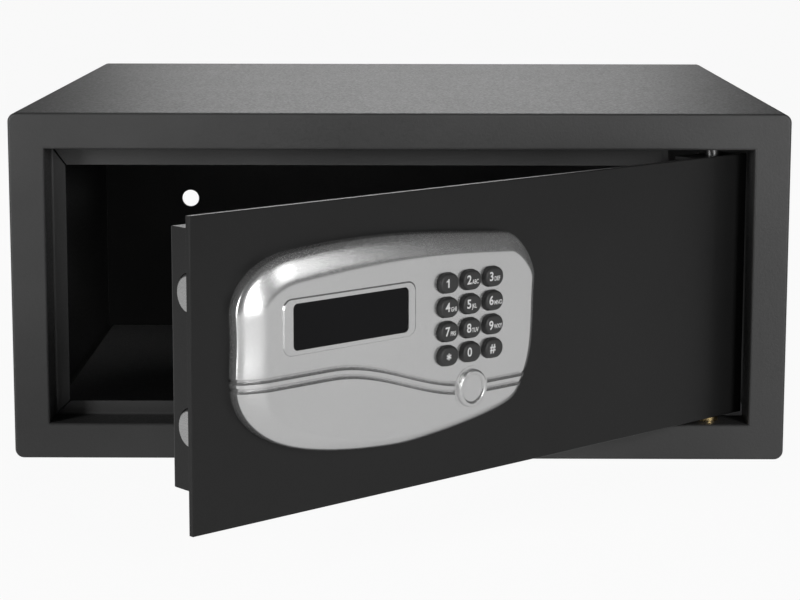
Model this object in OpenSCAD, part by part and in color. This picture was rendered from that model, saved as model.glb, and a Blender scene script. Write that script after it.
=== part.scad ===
// Laptop safe with an electronic lock, standing with its door part open.
// Millimetres. The origin is the centre of the cabinet's base, +Y points to the back, +Z up.
// Door pieces are drawn on the closed door, in door coordinates: x from the plate's free edge
// towards the hinge, y up from its lower edge, z out of its front face. on_door() swings them.

/* [Cabinet] */
// Width of the cabinet
body_w = 430; // [425:1:440]
// Height of the cabinet
body_h = 194; // [190:1:210]
// Depth of the cabinet
body_d = 380; // [330:5:450]
// Thickness of the folded sheet
sheet = 2; // [1.6:0.1:2.2]
// Outer corner radius of the tube
corner_r = 5; // [4:0.5:8]
// Rounding of the front face along its outer edge
face_edge_r = 1.5; // [0.5:0.1:1.5]
// Width of the weld seam behind the front face
seam_w = 0.8; // [0.4:0.1:1.5]
// Depth of the weld seam
seam_d = 0.5; // [0.2:0.1:0.8]
// Thickness of the floor mat
mat_t = 2.5; // [1.5:0.5:4]

/* [Opening] */
// Width of the front face beside the opening
face_w = 20; // [18:1:22]
// Depth of the flange that the opening turns back to
flange_d = 22; // [20:0.5:23]
// Rounding of the opening's front edge
mouth_r = 1.6; // [0.5:0.1:1.6]
// Width of the lip at the side and below
lip_w = 8; // [5:0.5:9]
// Width of the lip above
lip_top = 11; // [8:0.5:12]
// Distance from the hinge side to where the lips end
lip_hinge_gap = 45; // [42:1:70]
// Slit between two lips at a corner
lip_slit = 0.7; // [0.3:0.1:1.5]
// Bend radius between flange and lip
lip_bend_r = 1.5; // [0.5:0.1:2]

/* [Door plate] */
// Thickness of the door plate
door_t = 3; // [2.5:0.5:3]
// Distance of the door's face behind the cabinet's face
door_recess = 4.5; // [4:0.1:5]
// Gap between the door and the opening at the sides
door_side_gap = 3; // [2.8:0.1:3.5]
// Gap between the door and the opening above and below
door_end_gap = 3.5; // [3:0.1:5]
// Rounding of the plate's front edges
door_edge_r = 0.6; // [0.3:0.1:1]

/* [Hinge] */
// Angle at which the door stands open
door_angle = 42; // [0:1:110]
// Distance of the pin axis from the opening's hinge side
pin_inset = 21.5; // [21:0.1:23]
// Distance of the pin axis behind the front face
pin_depth = 14; // [13.6:0.1:14.2]
// Radius of the hinge pins
pin_r = 4; // [3:0.1:4]
// Running clearance of the pins in their bushes
pin_clear = 0.05; // [0.02:0.01:0.1]
// Length of a hinge bracket along the door
bracket_w = 35; // [30:1:36]
// Height of a hinge bracket's welded leg
bracket_h = 28; // [18:1:40]
// Reach of a bracket's pin leg behind the plate
bracket_reach = 16.5; // [14:0.5:17]
// Distance of the brackets from the plate's ends
bracket_end_gap = 0.5; // [0.3:0.1:1]
// Wall of the hinge bushes
bush_wall = 1; // [0.8:0.1:1.5]
// Width and thickness of the bushes' collars
bush_collar = 1.5; // [1:0.1:2]

/* [Lock housing] */
// Length of the housing on the inside of the door
housing_w = 250; // [248:1:262]
// Depth of the housing behind the door plate
housing_d = 43; // [42:0.5:46]
// Distance of the housing from the plate's free edge
housing_inset = 22; // [21:0.5:23]
// Distance of the housing from the plate's upper and lower edges
housing_end_inset = 11; // [10:0.5:12]
// Thickness of the housing's sheet
housing_t = 1.5; // [1:0.1:1.6]
// Bend radius of the housing's edges
housing_r = 2.5; // [1.6:0.1:3]
// Width of the housing's fixing flanges at its sides
housing_foot = 12; // [11:0.5:14]
// Width of the flanges above and below
housing_foot_end = 9; // [8.5:0.1:9.5]

/* [Boltwork] */
// Radius of a bolt
bolt_r = 9.5; // [8:0.1:9.6]
// Length of a bolt
bolt_l = 60; // [58:1:62]
// Spacing of the two bolts
bolt_spacing = 64; // [60:1:66]
// Distance of the bolt axis behind the door plate's front face
bolt_depth = 30.5; // [30.4:0.1:31]
// How far a drawn bolt still stands out of the housing
bolt_proud = 1; // [0.5:0.1:2]
// Travel of the bolts
bolt_throw = 22; // [18:1:22]
// Rounding of a bolt's nose
bolt_nose_r = 1.5; // [0.5:0.1:3]
// Running clearance of the bolts in their guides
bolt_clear = 0.05; // [0.02:0.01:0.1]
// Length of a bolt guide
guide_l = 11; // [8:0.5:14]
// Wall of a bolt guide
guide_wall = 3.5; // [2:0.1:4]
// Thickness of the carriage's plate for the bolts
carriage_t = 3; // [2:0.1:3]
// Thickness of the carriage's rack bar
bar_t = 4; // [3:0.1:4]
// Height of the rack bar below its teeth
bar_h = 10.75; // [10.5:0.05:12]

/* [Drive] */
// Module of rack and pinion
gear_module = 1; // [0.95:0.01:1]
// Teeth of the pinion
pinion_teeth = 14; // [14:1:14]
// Pressure angle of the teeth
pressure_angle = 20; // [20:1:20]
// Distance of the pinion from the bolt plate
pinion_x = 31; // [30:0.5:33]
// Extra distance between pinion and rack, which gives the play
gear_play = 0.15; // [0.1:0.01:0.2]
// Radius of the output shaft
shaft_r = 3; // [2.5:0.1:3]
// Thickness of the mechanism plate
mech_t = 2; // [1.5:0.1:2]
// Running gap between the sliding bar and the mechanism plate
slide_gap = 0.1; // [0.05:0.05:0.3]
// Radius of the two guide pins
guide_pin_r = 2; // [1.5:0.1:2]
// Side clearance of the guide pins in their slots
slot_clear = 0.1; // [0.05:0.05:0.3]
// Radius of the motor
motor_r = 12.2; // [10:0.1:12.4]
// Length of the motor
motor_l = 31; // [25:1:34]

/* [Bezel] */
// Length of the bezel along the door
bezel_w = 189.7; // [188:0.1:192]
// Height of the bezel up the door
bezel_l = 102.9; // [101:0.1:104]
// Height of the bezel above the door plate
bezel_h = 11; // [10.8:0.1:12]
// Height of the bezel's upright wall
bezel_wall_h = 4.8; // [4:0.1:5.5]
// Width of the bezel's sloping shoulder
bezel_shoulder = 12; // [10:0.5:13]
// Wall of the moulded bezel
bezel_t = 2; // [1.8:0.1:2.2]
// Width of the wave band that crosses the bezel
wave_band_w = 5; // [4:0.5:6]
// Width of each groove along the band
wave_groove_w = 1.6; // [1:0.1:1.8]
// Depth of the grooves
wave_groove_d = 0.8; // [0.4:0.1:0.9]
// Rise of the wave from the lock to the free side
wave_rise = 19.8; // [16:0.1:22]
// Length over which the wave rises
wave_run = 95; // [85:1:100]

/* [Display] */
// Width of the display window
window_w = 71; // [66:0.5:72]
// Height of the display window
window_h = 22; // [18:0.5:23]
// Distance from the free edge to the window's centre
window_x = 84.9; // [84:0.1:86]
// Height of the window's centre above the plate's lower edge
window_y = 92.1; // [92:0.1:93]
// Border of the raised field round the window
field_margin_x = 5.5; // [4:0.1:6]
// Border of the raised field above and below the window
field_margin_y = 2.25; // [1:0.05:3]
// Height of the raised field
field_h = 0.8; // [0.4:0.1:1.2]
// Depth of the lens below the raised field
lens_recess = 0.6; // [0.3:0.1:1]

/* [Keypad] */
// Width of a key
key_w = 12.5; // [11.5:0.1:12.8]
// Height of a key
key_h = 9.8; // [9.4:0.1:10]
// How far a key stands out of the bezel
key_proud = 3; // [2:0.1:3.5]
// Rounding of a key's face
key_edge_r = 1.4; // [0.6:0.1:1.8]
// Travel of a key
key_travel = 1.5; // [0.8:0.1:1.5]
// Clearance round a key in the bezel
key_clear = 0.3; // [0.2:0.05:0.35]
// Distance from one key to the next across
key_pitch_x = 15.1; // [15:0.1:15.4]
// Distance from one key to the next in height
key_pitch_y = 12; // [11.8:0.1:12.2]
// Distance from the free edge to the first column of keys
key_x = 145.6; // [145:0.1:146]
// Height of the upper row of keys above the plate's lower edge
key_y = 102; // [101.8:0.1:102.6]

/* [Override lock] */
// Distance from the free edge to the lock's axis
lock_x = 162.5; // [162:0.1:163]
// Height of the lock's axis above the plate's lower edge
lock_y = 47.6; // [47:0.1:47.8]
// Radius of the lock's body
lock_r = 8; // [7:0.1:8]
// Radius of the key plug
plug_r = 5.5; // [4.5:0.1:6]
// Running clearance of the plug
plug_clear = 0.05; // [0.02:0.01:0.1]
// Length of the lock's body behind the plate's front face
lock_back = 24; // [22:0.5:24]
// Radius of the round cover over the keyhole
cover_r = 9.5; // [9.2:0.1:9.6]
// Height of the cover's rim above the bezel
cover_h = 1.4; // [1:0.1:2]
// Radius of the dished centre of the cover
cover_dish_r = 6.75; // [6:0.05:7]

/* [Batteries] */
// Radius of a cell
cell_r = 7.25; // [6.5:0.05:7.4]
// Length of a cell
cell_l = 50.5; // [48:0.5:51]
// Distance from one cell to the next
cell_pitch = 15; // [14.9:0.1:15.4]
// Number of cells
cells = 4; // [3:1:4]
// Wall of the battery holder
holder_wall = 1.5; // [1:0.1:2]

/* [Electronics] */
// Thickness of the circuit boards
board_t = 1.6; // [1.2:0.1:1.6]
// Height of the keypad board above the door plate
board_lift = 3; // [2.8:0.1:3]
// Width of the ribbon cable
ribbon_w = 7; // [5:0.5:7.4]
// Thickness of the ribbon cable
ribbon_t = 1.2; // [0.8:0.1:1.2]

/* [Fasteners and anchors] */
// Radius of the welded studs
stud_r = 2; // [1.5:0.1:2]
// Width across flats of the nuts
nut_af = 7; // [6:0.5:7]
// Thickness of the nuts
nut_t = 3.2; // [2.4:0.1:3.2]
// Radius of the bezel screws
bezel_screw_r = 2; // [1.5:0.1:2]
// Radius of the anchor holes
anchor_r = 6; // [4:0.5:7]
// Spacing of the two anchor holes in the back
back_anchor_spacing = 305; // [250:5:340]
// Spacing of the two anchor holes in the floor
base_anchor_spacing = 220; // [150:5:300]

/* [Hidden] */
$fn = 48;
part_gap = 0.3;
stud_gap = 0.25;
hole_gap = 0.1;
hair = 0.1;
through = 1;

inner_r = corner_r - sheet;
opening_w = body_w - 2 * face_w;
opening_h = body_h - 2 * face_w;
door_w = opening_w - 2 * door_side_gap;
door_h = opening_h - 2 * door_end_gap;
lip_front = flange_d;
lip_back = flange_d + sheet;

bush_r = pin_r + pin_clear + bush_wall;
pin_x = door_w + door_side_gap - pin_inset;
pin_z = door_recess - pin_depth;
pin_tail = 3;
pin_end = 2.5;
pin_chamfer = 0.8;
pin_l = pin_tail + sheet + bracket_end_gap + door_end_gap + sheet + pin_end;
bracket_over = 15.5;
bracket_x = pin_x + bracket_over - bracket_w;

housing_x = housing_inset;
housing_y = housing_end_inset;
housing_h = door_h - 2 * housing_end_inset;
housing_back = door_t + housing_d;

bolt_ys = [for (s = [-1, 1]) door_h / 2 + s * bolt_spacing / 2];
bolt_x = housing_x - bolt_proud;
bolt_plate_x = bolt_x + bolt_l;
bolt_plate_margin = 13;
bolt_plate_d = 16;
bolt_plate_r = 4;
bolt_screw_r = 2.5;
bolt_screw_l = 12;
bolt_screw_head_r = 4.2;
bolt_screw_head_t = 2.6;

pitch_r = gear_module * pinion_teeth / 2;
base_r = pitch_r * cos(pressure_angle);
pinion_tip_r = pitch_r + gear_module;
pinion_root_r = pitch_r - 1.25 * gear_module;
rack_addendum = 0.8 * gear_module;
rack_root = 1.25 * gear_module;
rack_pitch = PI * gear_module;
flank_steps = 5;
bar_y = door_h / 2 - 13;
rack_y = bar_y + bar_h + rack_root;
bar_top_z = -bolt_depth + bar_t / 2;
bar_bottom_z = -bolt_depth - bar_t / 2;
bar_l = 70;
gear_x = bolt_plate_x + pinion_x;
gear_y = rack_y + pitch_r + gear_play;
pinion_gap = 0.2;
shaft_end = 1.5;
shaft_l = 14;
rack_first = -2;
rack_last = ceil(bolt_throw / rack_pitch) + 2;

mech_z = bar_top_z + slide_gap + mech_t;
mech_x = bolt_plate_x + carriage_t + 4;
mech_w = 46;
mech_end_gap = 22.5;
mech_shift = 5;
mech_y = housing_y + mech_end_gap + mech_shift;
mech_h = housing_h - 2 * mech_end_gap;
mech_foot = 10;
mech_stud_inset = 9;
gearbox_w = 46;
gearbox_h = 30;
gearbox_x = gear_x - gearbox_w / 2;
gearbox_y = gear_y - 7;
gearbox_front = -door_t - 1.5;
gearbox_screw_inset = 5;
gearbox_screw_l = 8;
gearbox_boss_r = 5.5;
gearbox_screw_r = 1.5;
gearbox_screw_head_r = 2.75;
gearbox_screw_head_t = 1.9;
guide_pin_y = bar_y + 5.1;
guide_pin_head_r = 4;
guide_pin_head_t = 1.5;
guide_pin_xs = [mech_x + 4, mech_x + mech_w - 10];

bezel_steps = 4;
// Corners of the bezel's outline: x, y, heading, reach of the curve before and after the point
bezel_anchors = [
    [21.3, 65, 95, 11, 11],
    [21.3, 98, 94, 19, 13],
    [53, 125.8, 5.5, 20, 53],
    [191, 122.2, -5, 51, 10],
    [210.6, 97, -95, 9, 18],
    [204.2, 49, -116, 16, 13],
    [185, 33.1, -165.5, 11, 18],
    [117, 25.2, 178, 13, 27],
    [38, 40.7, 147, 20, 11]
];
// Places of the four screw bosses under the bezel
boss_places = [[36, 84], [194, 84], [72, 46], [140, 42]];
boss_r = 4.5;
// Places of the four posts that hold the keypad board
post_places = [[48, 64], [48, 109.5], [134, 64], [134, 109.5]];
post_r = 2.5;
post_pin_r = 1.2;
bezel_screw_l = 7;
board_x = 42;
board_y = 59.5;
board_w = 138;
board_h = 53.5;
wave_x = lock_x + 5;
wave_y = lock_y + 1.2;
wave_steps = 14;

key_names = ["1", "2", "3", "4", "5", "6", "7", "8", "9", "star", "0", "hash"];
key_flange = 0.8;
key_flange_t = 1.3;
key_stop = bezel_h - bezel_t - part_gap;
mat_sheet_t = key_stop - key_flange_t - key_travel - part_gap - board_lift - board_t;
lens_gap = 0.2;
lens_flange_t = 1;

socket_r = cover_r + 1.5;
socket_h = 0.2;
cover_skirt_r = cover_r - 1;
cover_skirt_t = 1.2;
lock_front = 7;
cover_foot = lock_front + part_gap - bezel_h - socket_h;
lock_flange_r = lock_r + 1.4;
lock_flange_t = 1.5;
plug_tail = 5;
plug_tail_l = 3;
cam_t = 2;
cam_r = 6;
cam_tip_r = 4;
cam_l = 14;
stud_l = 7;

holder_x = 200;
holder_y = door_h / 2 - 31;
holder_w = cells * cell_pitch + 1 + 2 * holder_wall;
holder_h = 60;
holder_d = 17.5;
holder_rib_w = 2;
holder_rib_h = 2.5;
cell_nub_r = 2.7;
cell_nub_h = 1;
battery_cover_lip = 2;
battery_cover_w = holder_w - 2 * battery_cover_lip;
battery_cover_h = holder_h - 2 * battery_cover_lip;
cover_plate_t = 1.5;
control_x = 196;
control_y = holder_y + 4;
control_w = 72;
control_h = 56;
control_gap = 4.5;
control_holes = [for (x = [4, control_w - 4], y = [4, control_h - 4]) [x, y]];
standoff_r = 2.5;
standoff_pin_r = 1.5;
// Relay, chip and connector on the control board: x, y, width, length and height
control_parts = [[12, 12, 15, 10, 9], [34, 14, 12, 12, 2], [20, 36, 22, 8, 6]];
can_x = 58;
can_y = 20;
can_r = 4;
can_h = 11;
reset_x = 232;
reset_y = housing_y + housing_h - 16;
reset_body_r = 5;
reset_collar = 1.5;
reset_r = 3.3;
reset_travel = 1.5;
reset_body_l = 16;
reset_bore = 6;
reset_proud = 2;
cable_x = 174;
cable_y = 100;
cable_hole_r = 6;
ribbon_bend = 3;

case_black = [0.13, 0.13, 0.14];
silver = [0.72, 0.73, 0.74];
steel = [0.62, 0.63, 0.65];
rubber_black = [0.2, 0.2, 0.21];
nylon = [0.85, 0.85, 0.8];

// Frames of reference

// Cabinet pieces: y = 0 is the front face
module in_cabinet() translate([0, -body_d / 2, 0]) children();

// Plane of the front face seen from the front, centred on the opening, z towards the viewer
module face_view(depth = 0)
    in_cabinet() translate([0, depth, body_h / 2]) rotate([90, 0, 0]) children();

// Door coordinates on the open door
module on_door()
    in_cabinet() translate([opening_w / 2 - pin_inset, pin_depth, 0]) rotate(door_angle)
        translate([-opening_w / 2 + pin_inset, -pin_depth, 0])
            translate([-door_w / 2, door_recess, body_h / 2 - door_h / 2])
                rotate([90, 0, 0]) children();

// Shapes that repeat

// Rectangle centred on the origin with round corners
module rounded_rect(w, h, r) {
    square([w - 2 * r, h], center = true);
    square([w, h - 2 * r], center = true);
    for (x = [-1, 1], y = [-1, 1]) translate([x * (w / 2 - r), y * (h / 2 - r)]) circle(r);
}

// Outline from z = -t to 0, centred, whose upper corners are round
module edge_profile(w, t, edge) {
    translate([-w / 2, -t]) square([w, t - edge]);
    translate([edge - w / 2, -t]) square([w - 2 * edge, t]);
    for (s = [-1, 1]) translate([s * (w / 2 - edge), -edge]) intersection() {
        circle(edge);
        translate([-edge, edge - t]) square([2 * edge, t]);
    }
}

// Round slab below z = 0 whose upper edge is round
module soft_disc(r, t, edge) rotate_extrude() intersection() {
    edge_profile(2 * r, t, edge);
    translate([0, -t]) square([r, t]);
}

// Bar along x below z = 0 whose upper edges are round
module soft_bar(l, w, t, edge)
    rotate([90, 0, 90]) linear_extrude(l, center = true) edge_profile(w, t, edge);

// Slab below z = 0 with round corners, whose upper edge is round all round
module soft_slab(w, h, t, r, edge) {
    soft_bar(w - 2 * r, h, t, edge);
    rotate(90) soft_bar(h - 2 * r, w, t, edge);
    for (x = [-1, 1], y = [-1, 1]) translate([x * (w / 2 - r), y * (h / 2 - r), 0])
        soft_disc(r, t, edge);
}

// Slab with square corners: the rounds of its four edges meet in mitres
module mitred_slab(w, h, t, edge) intersection() {
    soft_bar(w, h, t, edge);
    rotate(90) soft_bar(h, w, t, edge);
}

// Bar whose cross-section is what a round edge takes off a square corner at the origin
module edge_cut(l, r)
    translate([0, 0, -l / 2]) linear_extrude(l) difference() {
        translate([-through, -through]) square(r + through);
        translate([r, r]) circle(r);
    }

// Bar that fills an inside corner at the origin with a hollow fillet
module edge_fill(l, r)
    translate([0, 0, -l / 2]) linear_extrude(l) difference() {
        square(r);
        translate([r, r]) circle(r);
    }

// Hexagon nut lying on z = 0 and reaching down
module nut(af, t, bore_r)
    translate([0, 0, -t]) difference() {
        cylinder(r = af / sqrt(3), h = t, $fn = 6);
        translate([0, 0, -through]) cylinder(r = bore_r, h = t + 2 * through);
    }

// Screw whose head lies below z = 0 and whose shank reaches up
module screw(r, l, head_r, head_t) {
    cylinder(r = r, h = l);
    translate([0, 0, -head_t]) cylinder(r = head_r, h = head_t);
}

// Cabinet

module body_shell() color(case_black) difference() {
    union() {
        face_view(body_d) linear_extrude(body_d - sheet - seam_w)
            rounded_rect(body_w, body_h, corner_r);
        face_view(sheet + seam_w) linear_extrude(seam_w)
            rounded_rect(body_w - 2 * seam_d, body_h - 2 * seam_d, corner_r - seam_d);
    }
    face_view(body_d + through) linear_extrude(body_d + 2 * through)
        rounded_rect(body_w - 2 * sheet, body_h - 2 * sheet, inner_r);
    for (s = [-1, 1]) translate([s * base_anchor_spacing / 2, 0, -through])
        cylinder(r = anchor_r, h = sheet + 2 * through);
}

// One lip: an outline in the plane of the face, cut back by the corner slits
module lip(points) face_view(lip_back) linear_extrude(sheet) polygon(points);

// Tools that round the opening's front edge at its sides and at its upper and lower ends
module side_cut(s, l) translate([s * opening_w / 2, 0, 0]) rotate([90, 0, 0])
    mirror([s < 0 ? 1 : 0, 0, 0]) mirror([0, 1, 0]) edge_cut(l, mouth_r);

module end_cut(s, l) translate([0, s * opening_h / 2, 0]) rotate([0, 90, 0])
    mirror([0, s < 0 ? 1 : 0, 0]) edge_cut(l, mouth_r);

module front_frame() color(case_black) {
    w = opening_w / 2;
    h = opening_h / 2;
    difference() {
        union() {
            face_view() soft_slab(body_w, body_h, sheet, corner_r, face_edge_r);
            face_view(lip_back) linear_extrude(lip_back - sheet / 2)
                square([opening_w + 2 * sheet, opening_h + 2 * sheet], center = true);
        }
        face_view(lip_back + through) linear_extrude(lip_back + 2 * through)
            square([opening_w, opening_h], center = true);
        face_view() for (s = [-1, 1]) {
            side_cut(s, opening_h);
            end_cut(s, opening_w);
            for (u = [-1, 1]) intersection() {
                side_cut(s, opening_h + 2 * mouth_r);
                end_cut(u, opening_w + 2 * mouth_r);
            }
        }
        for (s = [-1, 1]) translate([w - pin_inset, pin_depth - body_d / 2, body_h / 2 + s * h])
            cylinder(r = bush_r + hole_gap / 2, h = 3 * sheet, center = true);
    }
    lip([[-w, h - lip_slit], [-w + lip_w, h - lip_top - lip_slit],
        [-w + lip_w, -h + lip_w + lip_slit], [-w, -h + lip_slit]]);
    lip([[-w + lip_slit, h], [w - lip_hinge_gap, h],
        [w - lip_hinge_gap, h - lip_top], [-w + lip_w + lip_slit, h - lip_top]]);
    lip([[-w + lip_slit, -h], [w - lip_hinge_gap, -h],
        [w - lip_hinge_gap, -h + lip_w], [-w + lip_w + lip_slit, -h + lip_w]]);
    face_view(lip_front) {
        translate([-w, 0, 0]) rotate([90, 0, 0])
            edge_fill(opening_h - 2 * lip_slit - 2 * lip_bend_r, lip_bend_r);
        for (s = [-1, 1]) translate([(lip_slit + lip_bend_r - lip_hinge_gap) / 2, s * h, 0])
            rotate([0, -90, 0]) mirror([0, s > 0 ? 1 : 0, 0])
                edge_fill(opening_w - lip_hinge_gap - lip_slit - lip_bend_r, lip_bend_r);
    }
}

module back_panel() color(case_black) difference() {
    face_view(body_d) linear_extrude(sheet)
        rounded_rect(body_w - 2 * sheet - 2 * hair, body_h - 2 * sheet - 2 * hair, inner_r);
    for (s = [-1, 1]) face_view(body_d + through) translate([s * back_anchor_spacing / 2, 0, 0])
        cylinder(r = anchor_r, h = sheet + 2 * through);
}

module floor_mat() color(rubber_black) {
    mat_w = body_w - 2 * corner_r - 2 * part_gap;
    mat_d = body_d - lip_back - sheet - 4;
    translate([0, (lip_back - sheet) / 2, sheet]) difference() {
        translate([-mat_w / 2, -mat_d / 2, 0]) cube([mat_w, mat_d, mat_t]);
        for (s = [-1, 1]) translate([s * base_anchor_spacing / 2, -(lip_back - sheet) / 2, -through])
            cylinder(r = anchor_r + 1, h = mat_t + 2 * through);
    }
}

// Hinge: side is 1 at the top and -1 at the bottom

module at_pin(side)
    in_cabinet() translate([opening_w / 2 - pin_inset, pin_depth, body_h / 2])
        mirror([0, 0, side < 0 ? 1 : 0]) children();

module hinge_bush(side) color(nylon) at_pin(side) translate([0, 0, opening_h / 2])
    difference() {
        union() {
            cylinder(r = bush_r, h = sheet + bush_collar);
            translate([0, 0, sheet]) cylinder(r = bush_r + bush_collar, h = bush_collar);
        }
        translate([0, 0, -through]) cylinder(r = pin_r + pin_clear, h = 10);
    }

module thrust_washer() color(nylon) at_pin(-1) {
    washer_t = door_end_gap + bracket_end_gap - hair;
    washer_r = pin_depth - door_recess - door_t - part_gap;
    translate([0, 0, opening_h / 2 - washer_t]) difference() {
        cylinder(r = washer_r, h = washer_t);
        translate([0, 0, -through]) cylinder(r = pin_r + 2 * pin_clear, h = washer_t + 2 * through);
    }
}

// Origin at the outer face of a bracket, y pointing out of the door's end
module at_door_end(side) translate([0, door_h / 2, 0]) mirror([0, side < 0 ? 1 : 0, 0])
    translate([0, door_h / 2 - bracket_end_gap, 0]) children();

// An angle welded to the back of the plate
module hinge_bracket(side) color(case_black) on_door() at_door_end(side) difference() {
    union() {
        translate([bracket_x, -bracket_h, -door_t - sheet]) cube([bracket_w, bracket_h, sheet]);
        translate([bracket_x, -sheet, -door_t - bracket_reach])
            cube([bracket_w, sheet, bracket_reach]);
    }
    translate([pin_x, through, pin_z]) rotate([90, 0, 0])
        cylinder(r = pin_r + hole_gap / 2, h = sheet + 2 * through);
}

module hinge_pin(side) color(steel) on_door() at_door_end(side)
    translate([pin_x, pin_l - sheet - pin_tail, pin_z]) rotate([90, 0, 0]) {
        translate([0, 0, pin_chamfer]) cylinder(r = pin_r, h = pin_l - pin_chamfer);
        cylinder(r1 = pin_r - pin_chamfer, r2 = pin_r, h = pin_chamfer);
    }

// Door plate and what is welded to it

module plate_hole(place, r)
    translate([place[0], place[1], -door_t - through]) cylinder(r = r, h = door_t + 2 * through);

module door_plate() color(case_black) on_door() difference() {
    translate([door_w / 2, door_h / 2, 0])
        mitred_slab(door_w, door_h, door_t, door_edge_r);
    for (p = boss_places) plate_hole(p, bezel_screw_r + stud_gap);
    plate_hole([lock_x, lock_y], lock_r + hole_gap);
    plate_hole([cable_x, cable_y], cable_hole_r);
}

// Places of the studs round the housing, on the back of the plate
module at_housing_studs() {
    for (x = [housing_x - housing_foot / 2, housing_x + housing_w + housing_foot / 2], s = [-1, 1])
        translate([x, door_h / 2 + s * (housing_h / 2 - 25), -door_t]) children();
    for (s = [-1, 1])
        translate([housing_x + housing_w / 2, door_h / 2 + s * (housing_h + housing_foot_end) / 2,
            -door_t]) children();
}

// Places of the studs at the feet of the mechanism plate
module at_mechanism_studs()
    for (x = [mech_x + mech_stud_inset, mech_x + mech_w - mech_stud_inset], s = [-1, 1])
        translate([x, mech_y + mech_h / 2 + s * (mech_h + mech_foot) / 2, -door_t]) children();

module weld_studs() color(steel) on_door() {
    at_housing_studs() translate([0, 0, -stud_l]) cylinder(r = stud_r, h = stud_l);
    at_mechanism_studs() translate([0, 0, -stud_l]) cylinder(r = stud_r, h = stud_l);
}

module housing_nuts() color(steel) on_door() {
    at_housing_studs() translate([0, 0, -housing_t]) nut(nut_af, nut_t, stud_r + hole_gap);
    at_mechanism_studs() translate([0, 0, -mech_t]) nut(nut_af, nut_t, stud_r + hole_gap);
}

// Folded box open towards the plate, with outward feet
module lock_housing() color(case_black) on_door() difference() {
    foot_l = housing_h - 2 * housing_foot_end;
    union() {
        translate([housing_x + housing_w / 2, door_h / 2, -housing_back])
            mirror([0, 0, 1]) mitred_slab(housing_w, housing_h, housing_d, housing_r);
        translate([housing_x - housing_foot, door_h / 2 - foot_l / 2, -door_t - housing_t])
            cube([housing_w + 2 * housing_foot, foot_l, housing_t]);
        translate([housing_x + housing_foot, housing_y - housing_foot_end, -door_t - housing_t])
            cube([housing_w - 2 * housing_foot, housing_h + 2 * housing_foot_end, housing_t]);
    }
    translate([housing_x + housing_t, housing_y + housing_t, housing_t - housing_back])
        cube([housing_w - 2 * housing_t, housing_h - 2 * housing_t, housing_d]);
    at_housing_studs() translate([0, 0, -2 * housing_t])
        cylinder(r = stud_r + stud_gap, h = 3 * housing_t);
    for (y = bolt_ys) translate([housing_x - through, y, -bolt_depth]) rotate([0, 90, 0])
        cylinder(r = bolt_r + part_gap, h = housing_t + 2 * through);
    translate([holder_x + battery_cover_lip, holder_y + battery_cover_lip, -housing_back - through])
        cube([battery_cover_w, battery_cover_h, housing_t + 2 * through]);
    translate([reset_x, reset_y, -housing_back - through])
        cylinder(r = reset_body_r + hole_gap, h = housing_t + 2 * through);
}

// Boltwork

// Origin at the nose of a drawn bolt, z along the bolt into the housing
module at_bolt(y) on_door() translate([bolt_x, y, -bolt_depth]) rotate([0, 90, 0]) children();

module bolt(y) color(steel) at_bolt(y) difference() {
    union() {
        translate([0, 0, bolt_nose_r]) cylinder(r = bolt_r, h = bolt_l - bolt_nose_r);
        cylinder(r = bolt_r - bolt_nose_r, h = bolt_l);
        translate([0, 0, bolt_nose_r]) rotate_extrude()
            translate([bolt_r - bolt_nose_r, 0]) circle(bolt_nose_r);
    }
    translate([0, 0, bolt_l - bolt_screw_l]) cylinder(r = bolt_screw_r + hole_gap, h = bolt_l);
}

module bolt_guide(y) color(nylon) at_bolt(y)
    translate([0, 0, bolt_proud + housing_t]) difference() {
        cylinder(r = bolt_r + guide_wall, h = guide_l);
        translate([0, 0, -through]) cylinder(r = bolt_r + bolt_clear, h = guide_l + 2 * through);
    }

module bolt_screws() color(steel) for (y = bolt_ys) at_bolt(y)
    translate([0, 0, bolt_l + carriage_t]) mirror([0, 0, 1]) difference() {
        screw(bolt_screw_r, carriage_t + bolt_screw_l - part_gap, bolt_screw_head_r, bolt_screw_head_t);
        translate([0, 0, -bolt_screw_head_t - through])
            cylinder(r = bolt_screw_r / 1.2, h = bolt_screw_head_t / 2 + through, $fn = 6);
    }

// Rack tooth pointing up from the pitch line at y = 0
module rack_tooth() {
    half = rack_pitch / 4 - gear_play / 4;
    slope = tan(pressure_angle);
    polygon([[-half - rack_root * slope, -rack_root], [half + rack_root * slope, -rack_root],
        [half - rack_addendum * slope, rack_addendum], [rack_addendum * slope - half, rack_addendum]]);
}

// Slot whose round ends are centred at x and x + w
module slot(x, y, w, r) {
    translate([x, y - r]) square([w, 2 * r]);
    for (u = [x, x + w]) translate([u, y]) circle(r);
}

// Upright plate that joins the bolts, and the bar with the rack
module bolt_carriage() color(steel) on_door() {
    difference() {
        translate([bolt_plate_x, door_h / 2, -bolt_depth]) rotate([0, 90, 0])
            linear_extrude(carriage_t)
                rounded_rect(bolt_plate_d, bolt_spacing + 2 * bolt_plate_margin, bolt_plate_r);
        for (y = bolt_ys) translate([bolt_plate_x - through, y, -bolt_depth]) rotate([0, 90, 0])
            cylinder(r = bolt_screw_r + hole_gap, h = carriage_t + 2 * through);
    }
    translate([0, 0, bar_bottom_z]) linear_extrude(bar_t) {
        difference() {
            translate([bolt_plate_x + carriage_t, bar_y]) square([bar_l, bar_h]);
            for (x = guide_pin_xs) slot(x, guide_pin_y, bolt_throw, guide_pin_r + slot_clear);
        }
        for (i = [rack_first : rack_last])
            translate([gear_x + (i + 0.5) * rack_pitch, rack_y]) rack_tooth();
    }
}

// Drive

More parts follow.
